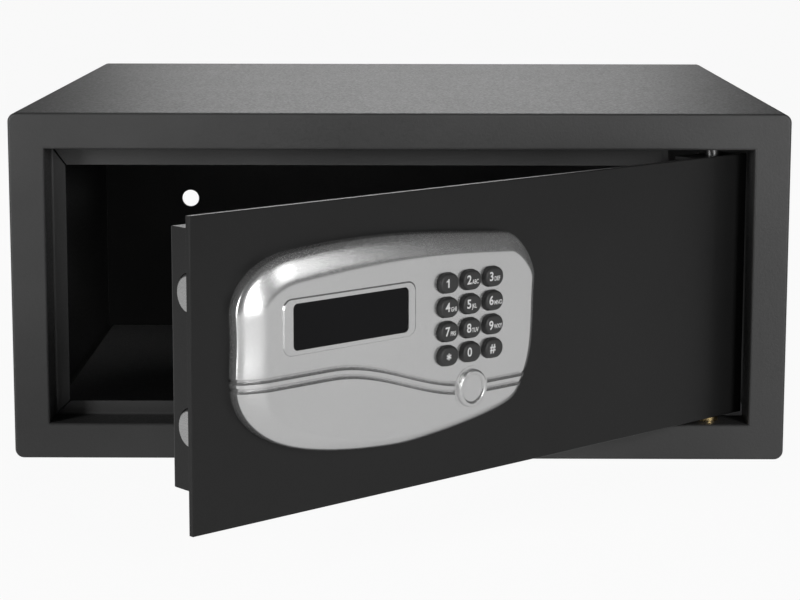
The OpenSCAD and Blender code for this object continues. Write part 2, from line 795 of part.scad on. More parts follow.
// Radius and polar angle of the involute at a roll angle in radians
function roll_r(roll) = base_r * sqrt(1 + roll * roll);
function roll_angle(roll) = roll * 180 / PI - atan(roll);
function on_circle(r, a) = [r * cos(a), r * sin(a)];
roll_tip = sqrt(pow(pinion_tip_r / base_r, 2) - 1);
half_tooth = 90 / pinion_teeth - gear_play / 4 / pitch_r * 180 / PI
    + roll_angle(tan(pressure_angle));

// One tooth points straight down at the rack
module pinion_outline() polygon([for (tooth = [0 : pinion_teeth - 1])
    let (a = tooth * 360 / pinion_teeth - 90) each concat(
        [on_circle(pinion_root_r, a - half_tooth)],
        [for (i = [0 : flank_steps]) let (roll = roll_tip * i / flank_steps)
            on_circle(roll_r(roll), a - half_tooth + roll_angle(roll))],
        [for (i = [flank_steps : -1 : 0]) let (roll = roll_tip * i / flank_steps)
            on_circle(roll_r(roll), a + half_tooth - roll_angle(roll))],
        [on_circle(pinion_root_r, a + half_tooth)])]);

module drive_pinion() color(nylon) on_door()
    translate([gear_x, gear_y, bar_bottom_z - pinion_gap]) linear_extrude(bar_t) difference() {
        pinion_outline();
        circle(shaft_r + pin_clear);
    }

module gear_shaft() color(steel) on_door()
    translate([gear_x, gear_y, bar_bottom_z - shaft_end]) cylinder(r = shaft_r, h = shaft_l);

module at_gearbox_screws()
    for (x = [gearbox_screw_inset, gearbox_w - gearbox_screw_inset],
        y = [gearbox_screw_inset, gearbox_h - gearbox_screw_inset])
        translate([gearbox_x + x, gearbox_y + y, mech_z - mech_t]) children();

module gearbox() color(case_black) on_door() difference() {
    union() {
        translate([gearbox_x, gearbox_y, mech_z])
            cube([gearbox_w, gearbox_h, gearbox_front - mech_z]);
        translate([gear_x, gear_y, mech_z - mech_t + part_gap])
            cylinder(r = gearbox_boss_r, h = mech_t + through);
    }
    translate([gear_x, gear_y, bar_bottom_z])
        cylinder(r = shaft_r + pin_clear, h = shaft_l - shaft_end + hair);
    at_gearbox_screws() cylinder(r = gearbox_screw_r + hole_gap, h = gearbox_screw_l + part_gap);
}

module gearbox_screws() color(steel) on_door() at_gearbox_screws()
    screw(gearbox_screw_r, gearbox_screw_l, gearbox_screw_head_r, gearbox_screw_head_t);

module motor() color(steel) on_door()
    translate([gearbox_x + gearbox_w, gearbox_y + gearbox_h / 2, (gearbox_front + mech_z) / 2])
        rotate([0, 90, 0]) {
            cylinder(r = motor_r - 1, h = motor_l);
            translate([0, 0, 1]) cylinder(r = motor_r, h = motor_l - 2);
            cylinder(r = motor_r / 3, h = motor_l + 2);
        }

// Folded plate that carries the gearbox in front of it and the sliding bar behind it
module mechanism_plate() color(case_black) on_door() difference() {
    union() {
        translate([mech_x, mech_y, mech_z - mech_t]) cube([mech_w, mech_h, mech_t]);
        for (y = [mech_y, mech_y + mech_h - mech_t])
            translate([mech_x, y, mech_z - mech_t]) cube([mech_w, mech_t, -door_t - mech_z + mech_t]);
        for (y = [mech_y - mech_foot, mech_y + mech_h - mech_t])
            translate([mech_x, y, -door_t - mech_t]) cube([mech_w, mech_foot + mech_t, mech_t]);
    }
    at_mechanism_studs() translate([0, 0, -2 * mech_t])
        cylinder(r = stud_r + stud_gap, h = 3 * mech_t);
    at_gearbox_screws() translate([0, 0, -through])
        cylinder(r = gearbox_screw_r + hole_gap, h = mech_t + 2 * through);
    translate([gear_x, gear_y, mech_z - mech_t - through])
        cylinder(r = gearbox_boss_r + part_gap, h = mech_t + 2 * through);
    for (x = guide_pin_xs) translate([x, guide_pin_y, mech_z - mech_t - through])
        cylinder(r = guide_pin_r + hole_gap, h = mech_t + 2 * through);
}

module guide_pins() color(steel) on_door() for (x = guide_pin_xs)
    translate([x, guide_pin_y, bar_bottom_z - slide_gap])
        screw(guide_pin_r, bar_t + 2 * slide_gap + mech_t, guide_pin_head_r, guide_pin_head_t);

// Batteries and electronics

module battery_holder() color(rubber_black) on_door()
    translate([holder_x, holder_y, housing_t - housing_back]) {
        difference() {
            cube([holder_w, holder_h, holder_d]);
            translate([holder_wall, holder_wall, -through])
                cube([holder_w - 2 * holder_wall, holder_h - 2 * holder_wall,
                    holder_d - holder_wall + through]);
        }
        for (i = [1 : cells - 1])
            translate([holder_wall + part_gap + i * cell_pitch - holder_rib_w / 2, holder_wall,
                holder_d - holder_wall - holder_rib_h])
                cube([holder_rib_w, holder_h - 2 * holder_wall, holder_rib_h]);
    }

module batteries() color("goldenrod") on_door() for (i = [0 : cells - 1])
    translate([holder_x + holder_wall + part_gap + (i + 0.5) * cell_pitch, holder_y + holder_h / 2,
        housing_t - housing_back + holder_d - holder_wall - hair - cell_r])
        rotate([i % 2 == 0 ? 90 : -90, 0, 0]) {
            translate([0, 0, -cell_l / 2]) cylinder(r = cell_r, h = cell_l - cell_nub_h);
            cylinder(r = cell_nub_r, h = cell_l / 2);
        }

module battery_cover() color(rubber_black) on_door()
    translate([holder_x, holder_y, -housing_back]) {
        translate([0, 0, -cover_plate_t])
            linear_extrude(cover_plate_t) translate([holder_w / 2, holder_h / 2])
                rounded_rect(holder_w, holder_h, battery_cover_lip);
        translate([battery_cover_lip + part_gap, battery_cover_lip + part_gap, -hair])
            cube([battery_cover_w - 2 * part_gap, battery_cover_h - 2 * part_gap, housing_t + hair]);
        for (i = [-1, 0, 1]) translate([holder_w / 2, holder_h - 10 + 3 * i, -cover_plate_t])
            rotate([0, 90, 0]) cylinder(r = 0.8, h = holder_w / 3, center = true);
    }

// A board with holes for the posts or screws that hold it
module circuit_board(w, h, holes, r) difference() {
    cube([w, h, board_t]);
    for (p = holes) translate([p[0], p[1], -through]) cylinder(r = r, h = board_t + 2 * through);
}

module control_board() color("darkgreen") on_door()
    translate([control_x, control_y, -door_t - control_gap - board_t]) {
        circuit_board(control_w, control_h, control_holes, standoff_pin_r + hole_gap);
        for (p = control_parts) translate([p[0], p[1], -p[4]]) cube([p[2], p[3], p[4] + board_t / 2]);
        translate([can_x, can_y, -can_h]) cylinder(r = can_r, h = can_h + board_t / 2);
    }

module board_standoffs() color(steel) on_door() for (p = control_holes)
    translate([control_x + p[0], control_y + p[1], -door_t]) mirror([0, 0, 1]) {
        cylinder(r = standoff_r, h = control_gap);
        cylinder(r = standoff_pin_r, h = control_gap + board_t + 1);
    }

module reset_switch() color(rubber_black) on_door() translate([reset_x, reset_y, -housing_back])
    difference() {
        union() {
            cylinder(r = reset_body_r, h = reset_body_l);
            translate([0, 0, -reset_collar]) cylinder(r = reset_body_r + reset_collar, h = reset_collar);
        }
        translate([0, 0, -2 * reset_collar])
            cylinder(r = reset_r + part_gap, h = 2 * reset_collar + reset_bore);
    }

module reset_button() color("firebrick") on_door() translate([reset_x, reset_y, -housing_back]) {
    translate([0, 0, -reset_collar - reset_proud])
        cylinder(r1 = reset_r - 0.5, r2 = reset_r, h = 0.5);
    translate([0, 0, -reset_collar - reset_proud + 0.5])
        cylinder(r = reset_r, h = reset_collar + reset_proud - 0.5 + reset_bore - reset_travel - part_gap);
}

module cable_grommet() color(rubber_black) on_door() translate([cable_x, cable_y, 0])
    difference() {
        union() {
            translate([0, 0, -door_t - 1]) cylinder(r = cable_hole_r - hole_gap, h = door_t + 2);
            for (z = [0, -door_t - 1]) translate([0, 0, z]) cylinder(r = cable_hole_r + 1.5, h = 1);
        }
        translate([0, 0, -door_t - 1 - through]) linear_extrude(door_t + 2 + 2 * through)
            square([ribbon_t + 2 * part_gap, ribbon_w + 2 * part_gap], center = true);
    }

// Quarter of a ring between two radii, in the first quadrant
module ring_quarter(r, t) intersection() {
    difference() {
        circle(r + t / 2);
        circle(r - t / 2);
    }
    square(r + t);
}

// From the keypad board's edge through the grommet to the control board's edge
module ribbon_cable() color("dimgray") on_door()
    translate([cable_x, cable_y + ribbon_w / 2, 0]) rotate([90, 0, 0]) linear_extrude(ribbon_w) {
        low = -door_t - control_gap - board_t / 2;
        translate([-ribbon_t / 2, low + ribbon_bend])
            square([ribbon_t, board_lift - low - ribbon_bend]);
        translate([ribbon_bend, low + ribbon_bend]) rotate(180) ring_quarter(ribbon_bend, ribbon_t);
        translate([ribbon_bend, low - ribbon_t / 2])
            square([control_x - cable_x - ribbon_bend, ribbon_t]);
    }

// Bezel

function toward(a, reach) = [a[0] + reach * cos(a[2]), a[1] + reach * sin(a[2])];
function bezier(p, q, r, s, t) = pow(1 - t, 3) * p + 3 * pow(1 - t, 2) * t * q
    + 3 * (1 - t) * t * t * r + pow(t, 3) * s;
function bezel_point(a, b, t) =
    bezier(toward(a, 0), toward(a, a[4]), toward(b, -b[3]), toward(b, 0), t);
bezel_outline = [for (i = [0 : len(bezel_anchors) - 1], k = [0 : bezel_steps - 1])
    bezel_point(bezel_anchors[i], bezel_anchors[(i + 1) % len(bezel_anchors)], k / bezel_steps)];
bezel_left = min([for (p = bezel_outline) p[0]]);
bezel_low = min([for (p = bezel_outline) p[1]]);

// Inset and height of the wall, the two bends and the slope between them
bezel_profile = [[0, bezel_wall_h], [0.5, bezel_wall_h + 1], [1.6, bezel_wall_h + 1.8],
    [bezel_shoulder - 3, bezel_h - 1.1], [bezel_shoulder - 1.4, bezel_h - 0.45],
    [bezel_shoulder + 0.8, bezel_h]];

// Point of the outline, moved square to its two edges into the bezel
function inward(i, d) = let (
        n = len(bezel_outline),
        here = bezel_outline[i % n],
        u = here - bezel_outline[(i + n - 1) % n],
        v = bezel_outline[(i + 1) % n] - here,
        p = [u[1], -u[0]] / norm(u),
        q = [v[1], -v[0]] / norm(v))
    here + d * (p + q) / (1 + p * q);

// Solid of the bezel's outside, drawn in by an amount on every side
module bezel_dome(inset, floor_z) {
    n = len(bezel_outline);
    rings = concat([[inset, floor_z]], [for (p = bezel_profile) [inset + p[0], p[1] - inset]]);
    last = len(rings) - 1;
    polyhedron(
        [for (r = rings, i = [0 : n - 1]) let (p = inward(i, r[0])) [p[0], p[1], r[1]]],
        concat(
            [[for (i = [n - 1 : -1 : 0]) i], [for (i = [0 : n - 1]) last * n + i]],
            [for (k = [0 : last - 1], i = [0 : n - 1])
                [k * n + i, k * n + (i + 1) % n, (k + 1) * n + (i + 1) % n, (k + 1) * n + i]]));
}

// Height of the wave's upper edge
function wave_at(x) = wave_y + wave_rise
    * (0.5 - 0.5 * cos(180 * min(1, max(0, (wave_x - x) / wave_run))));
wave_xs = concat([0], [for (i = [0 : wave_steps]) wave_x - wave_run * (1 - i / wave_steps)],
    [door_w]);

module wave_groove(below) linear_extrude(bezel_h + through) polygon(concat(
    [for (x = wave_xs) [x, wave_at(x) - below]],
    [for (i = [len(wave_xs) - 1 : -1 : 0]) [wave_xs[i], wave_at(wave_xs[i]) - below - wave_groove_w]]));

function key_place(i) = [key_x + (i % 3) * key_pitch_x, key_y - floor(i / 3) * key_pitch_y];

// Hollow shell with the two grooves, set to the bezel's real size
module bezel_shell() translate([bezel_left, bezel_low, 0]) resize([bezel_w, bezel_l, bezel_h])
    translate([-bezel_left, -bezel_low, 0]) difference() {
        union() {
            difference() {
                bezel_dome(0, 0);
                wave_groove(0);
                wave_groove(wave_band_w - wave_groove_w);
            }
            bezel_dome(wave_groove_d, 0);
        }
        bezel_dome(bezel_t, -through);
    }

module keypad_bezel() color(silver) on_door() difference() {
    union() {
        bezel_shell();
        translate([window_x, window_y, bezel_h - bezel_t / 2]) linear_extrude(bezel_t / 2 + field_h)
            rounded_rect(window_w + 2 * field_margin_x, window_h + 2 * field_margin_y, 5);
        translate([lock_x, lock_y, 0]) cylinder(r = socket_r, h = bezel_h + socket_h);
        for (p = boss_places) translate([p[0], p[1], 0])
            cylinder(r = boss_r, h = bezel_h - 0.8 * bezel_t);
        for (p = post_places) translate([p[0], p[1], 0]) {
            translate([0, 0, board_lift + board_t])
                cylinder(r = post_r, h = bezel_h - 0.8 * bezel_t - board_lift - board_t);
            translate([0, 0, board_lift - 0.6]) cylinder(r = post_pin_r, h = bezel_h / 2);
        }
    }
    translate([window_x, window_y, 0]) linear_extrude(2 * bezel_h)
        rounded_rect(window_w, window_h, 2.5);
    for (i = [0 : 11]) translate(key_place(i)) linear_extrude(2 * bezel_h)
        key_outline(key_clear);
    translate([lock_x, lock_y, -through]) cylinder(r = lock_flange_r + part_gap,
        h = bezel_h - bezel_t + through);
    translate([lock_x, lock_y, 0]) cylinder(r = cover_skirt_r + part_gap, h = 2 * bezel_h);
    for (p = boss_places) translate([p[0], p[1], -through])
        cylinder(r = bezel_screw_r + hole_gap / 2, h = bezel_screw_l + through);
}

module bezel_screws() color(steel) on_door() for (p = boss_places) translate([p[0], p[1], -door_t])
    screw(bezel_screw_r, door_t + bezel_screw_l - part_gap, 2 * bezel_screw_r, 2.4);

module display_lens() color([0.05, 0.05, 0.06]) on_door() translate([window_x, window_y, 0]) {
    top = bezel_h + field_h - lens_recess;
    foot = bezel_h - bezel_t - lens_gap;
    translate([0, 0, foot - lens_flange_t]) linear_extrude(top - foot + lens_flange_t)
        rounded_rect(window_w - 2 * lens_gap, window_h - 2 * lens_gap, 2.4);
    translate([0, 0, foot - lens_flange_t]) linear_extrude(lens_flange_t)
        rounded_rect(window_w + 5, window_h + 5, 2.4);
}

module display_module() color("darkslategray") on_door()
    translate([window_x, window_y, board_lift + board_t]) linear_extrude(3)
        rounded_rect(window_w - 3, window_h, 1);

module keypad_board() color("darkgreen") on_door() translate([board_x, board_y, board_lift])
    circuit_board(board_w, board_h, [for (p = post_places) p - [board_x, board_y]],
        post_pin_r + hole_gap);

module key_mat() color(rubber_black) on_door()
    translate([key_x + key_pitch_x, key_y - 1.5 * key_pitch_y, board_lift + board_t])
        linear_extrude(mat_sheet_t)
            rounded_rect(3 * key_pitch_x - 0.6, 4 * key_pitch_y - 1, 2);

// Flat outline of a key with round ends, larger by a margin on every side
module key_outline(margin) {
    square([key_w - key_h, key_h + 2 * margin], center = true);
    for (s = [-1, 1]) translate([s * (key_w - key_h) / 2, 0]) circle(key_h / 2 + margin);
}

module key_cap(i) color(rubber_black) on_door() translate(key_place(i)) {
    foot = key_stop - key_flange_t;
    key_t = bezel_h + key_proud - foot;
    translate([0, 0, bezel_h + key_proud]) {
        soft_bar(key_w - key_h, key_h, key_t, key_edge_r);
        for (s = [-1, 1]) translate([s * (key_w - key_h) / 2, 0, 0])
            soft_disc(key_h / 2, key_t, key_edge_r);
    }
    translate([0, 0, foot]) linear_extrude(key_flange_t) key_outline(key_flange);
}

// Override lock

module lock_cylinder() color(steel) on_door() translate([lock_x, lock_y, 0]) difference() {
    union() {
        translate([0, 0, -lock_back]) cylinder(r = lock_r, h = lock_back + lock_front);
        cylinder(r = lock_flange_r, h = lock_flange_t);
    }
    translate([0, 0, -lock_back - through])
        cylinder(r = plug_r + plug_clear, h = lock_back + lock_front + 2 * through);
}

module lock_nut() color(steel) on_door() translate([lock_x, lock_y, -door_t])
    nut(2.6 * lock_r, 4, lock_r + hole_gap / 2);

module lock_plug() color("gold") on_door() translate([lock_x, lock_y, 0]) difference() {
    union() {
        translate([0, 0, -lock_back]) cylinder(r = plug_r, h = lock_back + lock_front);
        translate([0, 0, -lock_back - plug_tail_l / 2])
            cube([plug_tail, plug_tail, plug_tail_l], center = true);
    }
    translate([0, 0, lock_front]) cube([1.6, 1.4 * plug_r, 24], center = true);
}

module lock_cam() color(steel) on_door()
    translate([lock_x, lock_y, -lock_back - cam_t - part_gap]) linear_extrude(cam_t) difference() {
        union() {
            circle(cam_r);
            translate([0, cam_l / 2]) square([2 * cam_tip_r, cam_l], center = true);
            translate([0, cam_l]) circle(cam_tip_r);
        }
        square(plug_tail + 2 * hole_gap, center = true);
    }

// Round cap with a raised rim and a skirt that grips the socket
module lock_cover() color(silver) on_door() translate([lock_x, lock_y, bezel_h + socket_h])
    rotate_extrude() polygon([
        [cover_skirt_r - cover_skirt_t, cover_foot], [cover_skirt_r, cover_foot],
        [cover_skirt_r, 0], [cover_r, 0],
        [cover_r, cover_h - 0.6], [cover_r - 0.2, cover_h - 0.2], [cover_r - 0.6, cover_h],
        [cover_dish_r + 0.6, cover_h], [cover_dish_r, cover_h - 0.6], [0, cover_h - 0.6],
        [0, cover_h - 0.6 - cover_skirt_t], [cover_skirt_r - cover_skirt_t, cover_h - 0.6 - cover_skirt_t]]);

body_shell();
front_frame();
back_panel();
floor_mat();
hinge_bush(1);  // hinge_bush_top
hinge_bush(-1);  // hinge_bush_bottom
thrust_washer();
door_plate();
hinge_bracket(1);  // hinge_bracket_top
hinge_bracket(-1);  // hinge_bracket_bottom
hinge_pin(1);  // hinge_pin_top
hinge_pin(-1);  // hinge_pin_bottom
lock_housing();
weld_studs();
housing_nuts();
bolt_guide(bolt_ys[1]);  // bolt_guide_upper
bolt_guide(bolt_ys[0]);  // bolt_guide_lower
mechanism_plate();
gearbox();
gearbox_screws();
motor();
guide_pins();
battery_holder();
batteries();
control_board();
board_standoffs();
lock_cylinder();
lock_nut();
keypad_bezel();
display_lens();
display_module();
keypad_board();
key_mat();
bezel_screws();
ribbon_cable();
cable_grommet();
reset_switch();
bolt_carriage();
bolt(bolt_ys[1]);  // upper_bolt
bolt(bolt_ys[0]);  // lower_bolt
bolt_screws();
drive_pinion();
gear_shaft();
lock_plug();
lock_cam();
lock_cover();
battery_cover();
reset_button();
for (i = [0 : len(key_names) - 1])
    key_cap(i);
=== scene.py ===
# %% [markdown]
# # Laptop safe
#
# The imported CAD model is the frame: every piece here is in metres and in its place. Each cell
# below makes one group of pieces or one material and prints what it made.

import math

import bpy
from mathutils import Matrix, Vector
from mathutils.geometry import interpolate_bezier


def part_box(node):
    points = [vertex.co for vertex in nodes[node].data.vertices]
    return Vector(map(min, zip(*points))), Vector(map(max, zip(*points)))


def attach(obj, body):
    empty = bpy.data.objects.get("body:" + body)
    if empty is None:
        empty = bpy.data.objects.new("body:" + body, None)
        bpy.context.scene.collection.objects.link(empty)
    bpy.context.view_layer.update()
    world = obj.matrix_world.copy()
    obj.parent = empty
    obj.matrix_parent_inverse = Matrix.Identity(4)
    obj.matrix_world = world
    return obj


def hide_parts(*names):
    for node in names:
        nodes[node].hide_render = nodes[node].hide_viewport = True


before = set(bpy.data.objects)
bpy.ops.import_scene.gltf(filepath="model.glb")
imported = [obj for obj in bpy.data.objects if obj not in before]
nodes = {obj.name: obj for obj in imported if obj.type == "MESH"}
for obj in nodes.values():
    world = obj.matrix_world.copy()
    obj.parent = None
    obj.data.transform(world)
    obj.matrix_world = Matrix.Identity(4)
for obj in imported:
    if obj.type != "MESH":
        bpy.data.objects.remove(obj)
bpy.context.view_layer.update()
MM = 0.001

# %% [markdown]
# ## Places on the door
#
# The door stands 42 degrees open. Its own coordinates start at the lower corner of its free
# edge: x towards the hinge, y up, z out of its front face, in millimetres.

# %% Door coordinates
DOOR_ANGLE = math.radians(42)
FRONT = -190
PIVOT = Vector((173.5, FRONT + 14, 0))
DOOR_CORNER = Vector((-192, FRONT + 4.5, 23.5))
turn = Matrix.Rotation(DOOR_ANGLE, 4, "Z")
corner = PIVOT + turn @ (DOOR_CORNER - PIVOT)
on_door = (Matrix.Translation(corner * MM) @ turn @ Matrix.Rotation(math.radians(90), 4, "X")
           @ Matrix.Scale(MM, 4))
print("door corner at", tuple(round(v, 4) for v in on_door.translation))


def to_door(obj):
    """Puts a mesh drawn in door millimetres in its place, with the object itself at the origin."""
    obj.data.transform(on_door)
    obj.matrix_world = Matrix.Identity(4)
    obj.data.update()


def pick(obj, *others):
    """Selects obj and any others, and nothing else, with obj active."""
    bpy.ops.object.select_all(action="DESELECT")
    for one in (obj, *others):
        one.select_set(True)
    bpy.context.view_layer.objects.active = obj


def soften(obj, edge, angle):
    """Breaks edges sharper than angle (degrees) by edge (millimetres) and evens the shading."""
    if edge:
        bevel = obj.modifiers.new("Broken edges", "BEVEL")
        bevel.width = edge * MM
        bevel.segments = 2
        bevel.limit_method = "ANGLE"
        bevel.angle_limit = math.radians(angle)
        bevel.harden_normals = True
    even = obj.modifiers.new("Even shading", "WEIGHTED_NORMAL")
    even.keep_sharp = True
    even.weight = 100


# %% [markdown]
# ## Effects that materials share
#
# Two node groups work on object coordinates, which are metres here. One gives the fine texture
# of a sprayed or moulded surface, the other gives the streaks of drawn or ground metal.


# %% Node groups
def node_group(name, inputs, outputs):
    """An empty shader group with its sockets, and its input and output nodes."""
    group = bpy.data.node_groups.new(name, "ShaderNodeTree")
    for label, kind, value in inputs:
        socket = group.interface.new_socket(label, in_out="INPUT", socket_type=kind)
        if value is not None:
            socket.default_value = value
    for label, kind in outputs:
        group.interface.new_socket(label, in_out="OUTPUT", socket_type=kind)
    return group, group.nodes.new("NodeGroupInput"), group.nodes.new("NodeGroupOutput")


def math_node(tree, operation, a, b):
    """Output of a math node on two values or sockets."""
    node = tree.nodes.new("ShaderNodeMath")
    node.operation = operation
    for socket, value in zip(node.inputs, (a, b)):
        if isinstance(value, (int, float)):
            socket.default_value = value
        else:
            tree.links.new(value, socket)
    return node.outputs[0]


grain, g_in, g_out = node_group(
    "Surface grain",
    [("Grain size", "NodeSocketFloat", 0.001), ("Depth", "NodeSocketFloat", 0.00002),
     ("Cloud size", "NodeSocketFloat", 0.06)],
    [("Normal", "NodeSocketVector"), ("Speck", "NodeSocketFloat"), ("Cloud", "NodeSocketFloat")])
coords = grain.nodes.new("ShaderNodeTexCoord")
fine = grain.nodes.new("ShaderNodeTexNoise")
fine.inputs["Detail"].default_value = 3
fine.inputs["Roughness"].default_value = 0.6
cloud = grain.nodes.new("ShaderNodeTexNoise")
cloud.inputs["Detail"].default_value = 4
bump = grain.nodes.new("ShaderNodeBump")
bump.inputs["Strength"].default_value = 1
for noise, socket in ((fine, "Grain size"), (cloud, "Cloud size")):
    grain.links.new(coords.outputs["Object"], noise.inputs["Vector"])
    grain.links.new(math_node(grain, "DIVIDE", 1, g_in.outputs[socket]), noise.inputs["Scale"])
grain.links.new(fine.outputs["Fac"], bump.inputs["Height"])
grain.links.new(g_in.outputs["Depth"], bump.inputs["Distance"])
grain.links.new(bump.outputs["Normal"], g_out.inputs["Normal"])
grain.links.new(fine.outputs["Fac"], g_out.inputs["Speck"])
grain.links.new(cloud.outputs["Fac"], g_out.inputs["Cloud"])

streaks, s_in, s_out = node_group(
    "Drawn metal",
    [("Along", "NodeSocketVector", (1, 1, 1)), ("Depth", "NodeSocketFloat", 0.000004)],
    [("Normal", "NodeSocketVector"), ("Streak", "NodeSocketFloat")])
coords = streaks.nodes.new("ShaderNodeTexCoord")
stretch = streaks.nodes.new("ShaderNodeVectorMath")
stretch.operation = "MULTIPLY"
lines = streaks.nodes.new("ShaderNodeTexNoise")
lines.inputs["Scale"].default_value = 900
lines.inputs["Detail"].default_value = 5
bump = streaks.nodes.new("ShaderNodeBump")
bump.inputs["Strength"].default_value = 1
streaks.links.new(coords.outputs["Object"], stretch.inputs[0])
streaks.links.new(s_in.outputs["Along"], stretch.inputs[1])
streaks.links.new(stretch.outputs[0], lines.inputs["Vector"])
streaks.links.new(lines.outputs["Fac"], bump.inputs["Height"])
streaks.links.new(s_in.outputs["Depth"], bump.inputs["Distance"])
streaks.links.new(bump.outputs["Normal"], s_out.inputs["Normal"])
streaks.links.new(lines.outputs["Fac"], s_out.inputs["Streak"])
print("node groups:", grain.name, "and", streaks.name)

# %% [markdown]
# ## Materials
#
# Each material mixes two close colours and two close roughness values by its noise, so no
# surface is one flat colour.


# %% Material builders
def new_material(name):
    """A material with its node tree and its shader."""
    material = bpy.data.materials.new(name)
    material.use_nodes = True
    return material, material.node_tree, material.node_tree.nodes["Principled BSDF"]


def add_group(tree, group, **values):
    """Adds a node group with its values, such as grain_size for its socket Grain size."""
    node = tree.nodes.new("ShaderNodeGroup")
    node.node_tree = group
    for label, value in values.items():
        node.inputs[label.replace("_", " ").capitalize()].default_value = value
    return node


def mix_colour(tree, factor, a, b):
    """Output of a mix of two colours by a socket."""
    node = tree.nodes.new("ShaderNodeMix")
    node.data_type = "RGBA"
    node.inputs["A"].default_value = (*a, 1)
    node.inputs["B"].default_value = (*b, 1)
    tree.links.new(factor, node.inputs["Factor"])
    return node.outputs["Result"]


NOISE_LOW, NOISE_HIGH = 0.3, 0.7


def remap(tree, value, low, high):
    """Stretches the usual range of a noise to low and high."""
    node = tree.nodes.new("ShaderNodeMapRange")
    node.inputs["From Min"].default_value = NOISE_LOW
    node.inputs["From Max"].default_value = NOISE_HIGH
    node.inputs["To Min"].default_value = low
    node.inputs["To Max"].default_value = high
    tree.links.new(value, node.inputs["Value"])
    return node.outputs["Result"]


def grained(name, dark, light, rough, size, depth, metallic=0.0, specular=0.5, coat=0.0):
    """Painted, moulded or cast surface: dark and light are grey levels or colours."""
    dark, light = [(c, c, c) if isinstance(c, float) else c for c in (dark, light)]
    material, tree, shader = new_material(name)
    effect = add_group(tree, grain, grain_size=size, depth=depth)
    shader.inputs["Metallic"].default_value = metallic
    shader.inputs["Specular IOR Level"].default_value = specular
    shader.inputs["Coat Weight"].default_value = coat
    colour = mix_colour(tree, effect.outputs["Cloud"], dark, light)
    tree.links.new(colour, shader.inputs["Base Color"])
    tree.links.new(remap(tree, effect.outputs["Speck"], *rough), shader.inputs["Roughness"])
    tree.links.new(effect.outputs["Normal"], shader.inputs["Normal"])
    return material


def drawn(name, dark, light, rough, along, depth=0.000003):
    """Bare metal with fine lines."""
    material, tree, shader = new_material(name)
    effect = add_group(tree, streaks, along=along, depth=depth)
    shader.inputs["Metallic"].default_value = 1
    colour = mix_colour(tree, effect.outputs["Streak"], dark, light)
    tree.links.new(colour, shader.inputs["Base Color"])
    tree.links.new(remap(tree, effect.outputs["Streak"], *rough), shader.inputs["Roughness"])
    tree.links.new(effect.outputs["Normal"], shader.inputs["Normal"])
    return material


# %% The safe's materials
cabinet_paint = grained("Cabinet powder coat", 0.034, 0.062, (0.36, 0.58), 0.0014, 0.00008)
# The door's coat is a darker copy of the cabinet's powder coat. Its extra darkness is painted
# shade on the door, and on the hinge brackets that share it.
shaded_door_paint = grained("Door powder coat, darkened for shade", 0.010, 0.015, (0.3, 0.42), 0.0012, 0.00006, specular=0.3)
bush_plastic = grained("Black acetal", 0.012, 0.018, (0.3, 0.4), 0.002, 0.000005)
black_plastic = grained("Black ABS", 0.012, 0.02, (0.4, 0.55), 0.0006, 0.00001)
gear_plastic = grained("Off-white acetal", (0.62, 0.61, 0.56), (0.7, 0.69, 0.64), (0.3, 0.42),
                       0.003, 0.000005)
silver_paint = grained("Satin silver", 0.68, 0.74, (0.20, 0.29), 0.0003, 0.000006, metallic=0.85)
key_plastic = grained("Charcoal key", 0.030, 0.042, (0.38, 0.5), 0.0005, 0.000006)
white_ink = grained("White ink", 0.75, 0.85, (0.45, 0.6), 0.0004, 0.000002)
silicone = grained("Silicone", 0.03, 0.04, (0.5, 0.65), 0.002, 0.000005)
battery_sleeve = grained("Battery sleeve", (0.03, 0.03, 0.04), (0.05, 0.05, 0.06), (0.2, 0.28),
                         0.01, 0.000002, coat=0.5)
cable_jacket = grained("Flat cable", (0.26, 0.27, 0.29), (0.34, 0.35, 0.37), (0.4, 0.5),
                       0.0008, 0.000008)
red_plastic = grained("Red ABS", (0.45, 0.02, 0.015), (0.55, 0.03, 0.02), (0.3, 0.4),
                      0.002, 0.000004)
zinc = drawn("Zinc-plated steel", (0.42, 0.43, 0.44), (0.6, 0.6, 0.6), (0.28, 0.42), (1, 1, 0.3))
ground_steel = drawn("Ground steel", (0.42, 0.42, 0.42), (0.6, 0.6, 0.6), (0.2, 0.34),
                     (0.1, 0.1, 1))
# The hinge pins' steel is a darker copy of the zinc-plated steel. Its darkness is painted shade at
# the hinge.
shaded_pin_steel = drawn("Steel darkened for shade", (0.10, 0.10, 0.10), (0.18, 0.18, 0.18), (0.3, 0.42), (1, 1, 0.3))
brass = drawn("Turned brass", (0.6, 0.44, 0.2), (0.78, 0.6, 0.32), (0.2, 0.32), (1, 1, 0.2))

board, tree, shader = new_material("Circuit board")
coords = tree.nodes.new("ShaderNodeTexCoord")
tracks = tree.nodes.new("ShaderNodeTexBrick")
tracks.inputs["Scale"].default_value = 260
tracks.inputs["Mortar Size"].default_value = 0.09
tracks.inputs["Color1"].default_value = (0.01, 0.09, 0.035, 1)
tracks.inputs["Color2"].default_value = (0.012, 0.11, 0.04, 1)
tracks.inputs["Mortar"].default_value = (0.03, 0.2, 0.08, 1)
shader.inputs["Roughness"].default_value = 0.3
tree.links.new(coords.outputs["Object"], tracks.inputs["Vector"])
tree.links.new(tracks.outputs["Color"], shader.inputs["Base Color"])

lens, tree, shader = new_material("Tinted acrylic")
effect = add_group(tree, grain, grain_size=0.004, depth=0.000001)
shader.inputs["Specular IOR Level"].default_value = 0.15
colour = mix_colour(tree, effect.outputs["Cloud"], (0.002, 0.002, 0.0025), (0.004, 0.004, 0.005))
tree.links.new(colour, shader.inputs["Base Color"])
tree.links.new(remap(tree, effect.outputs["Speck"], 0.05, 0.09), shader.inputs["Roughness"])

